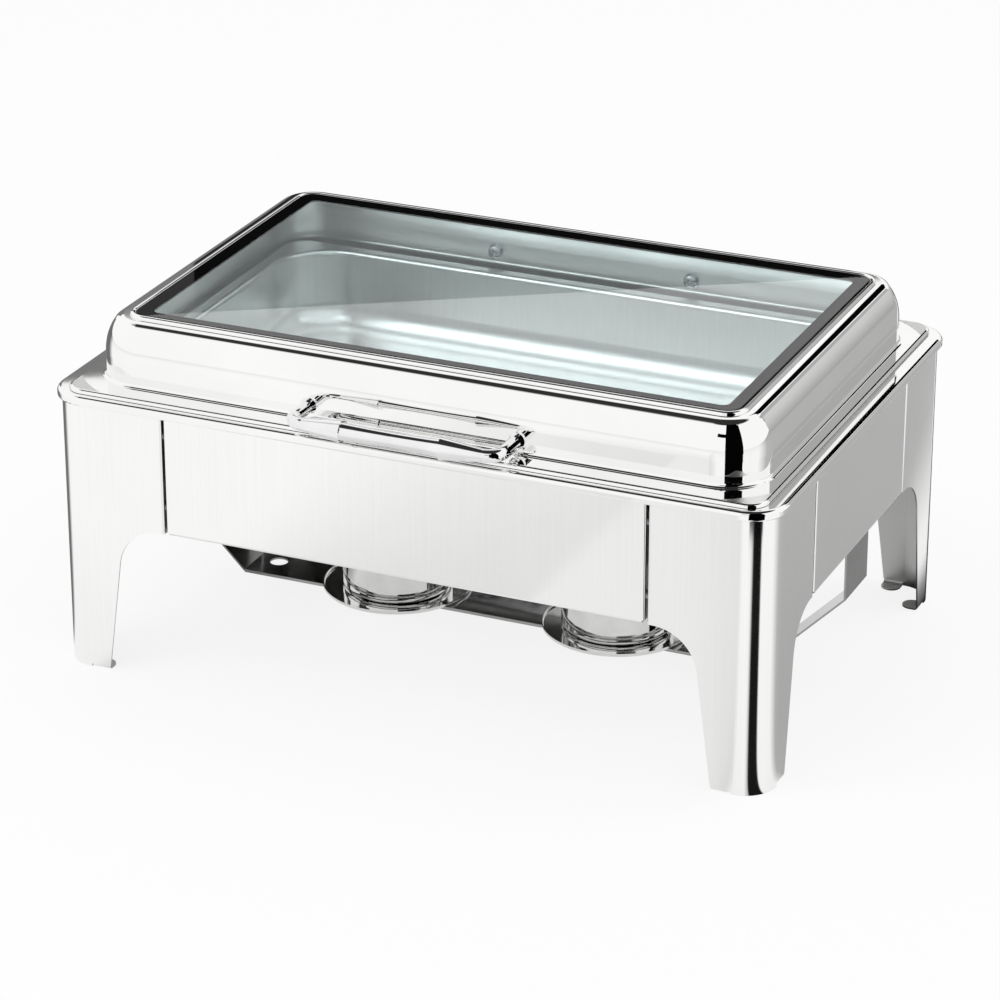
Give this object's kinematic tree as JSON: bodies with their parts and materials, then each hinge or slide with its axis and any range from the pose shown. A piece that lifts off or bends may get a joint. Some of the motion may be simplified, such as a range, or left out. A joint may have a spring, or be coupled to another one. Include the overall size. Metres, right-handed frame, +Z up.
{
  "type": "chafing dish",
  "caption": "Rectangular stainless chafing dish on sheet legs: hinged lid with a glass window and bow handle, food and water pans, and fuel burners on a cross bar.",
  "frame": {"origin": "on the table under the middle of the part: the centre of its box, at the feet", "axes": "+X along the length to the right, +Y to the rear where the hinges are, +Z up; the handle faces -Y"},
  "size_m": [0.596, 0.44, 0.2835],
  "materials": {
    "polished_sheet": "mirror-polished stainless sheet",
    "pan_steel": "bright drawn stainless sheet",
    "burner_steel": "polished stainless sheet",
    "bar_steel": "plain stainless strip",
    "hinge_steel": "plain stainless plate",
    "handle_chrome": "chrome-plated casting",
    "fastener_steel": "zinc-plated steel",
    "black_seal": "matt black silicone strip",
    "clear_glass": "clear toughened glass"
  },
  "bodies": {
    "stand": {"leg_front_left": "polished_sheet", "leg_front_right": "polished_sheet", "leg_rear_left": "polished_sheet", "leg_rear_right": "polished_sheet", "front_panel": "polished_sheet", "rear_panel": "polished_sheet", "left_panel": "polished_sheet", "right_panel": "polished_sheet", "water_pan": "polished_sheet", "food_pan": "pan_steel", "burner_tray_left": "burner_steel", "burner_tray_right": "burner_steel", "fuel_cup_left": "burner_steel", "fuel_cup_right": "burner_steel", "burner_cap_left": "burner_steel", "burner_cap_right": "burner_steel", "burner_bar": "bar_steel", "hinge_bracket_left": "hinge_steel", "hinge_bracket_right": "hinge_steel", "hinge_pins": "hinge_steel", "seam_bolts": "fastener_steel", "seam_nuts": "fastener_steel", "seam_spacers": "fastener_steel", "bracket_screws": "fastener_steel", "bracket_nuts": "fastener_steel", "bar_studs": "fastener_steel", "bar_nuts": "fastener_steel", "tray_rivets": "fastener_steel", "damper_rivets": "fastener_steel"},
    "lid": {"lid_shell": "polished_sheet", "window_seal": "black_seal", "lid_glass": "clear_glass", "lid_handle": "handle_chrome", "handle_screws": "fastener_steel", "handle_washers": "fastener_steel", "hinge_leaf_left": "hinge_steel", "hinge_leaf_right": "hinge_steel", "leaf_screws": "fastener_steel", "leaf_washers": "fastener_steel"},
    "damper_left": {"damper_left": "burner_steel"},
    "damper_right": {"damper_right": "burner_steel"}
  },
  "joints": [
    {"name": "lid_hinge", "type": "hinge", "parent": "stand", "child": "lid", "pos_m": [0, 0.2125, 0.236], "axis": [-1, 0, 0], "range_deg": [0, 95]},
    {"name": "damper_left_swivel", "type": "hinge", "parent": "stand", "child": "damper_left", "pos_m": [-0.096, 0.029, 0.079], "axis": [0, 0, -1], "range_deg": [0, 100]},
    {"name": "damper_right_swivel", "type": "hinge", "parent": "stand", "child": "damper_right", "pos_m": [0.096, 0.029, 0.079], "axis": [0, 0, 1], "range_deg": [0, 100]}
  ]
}
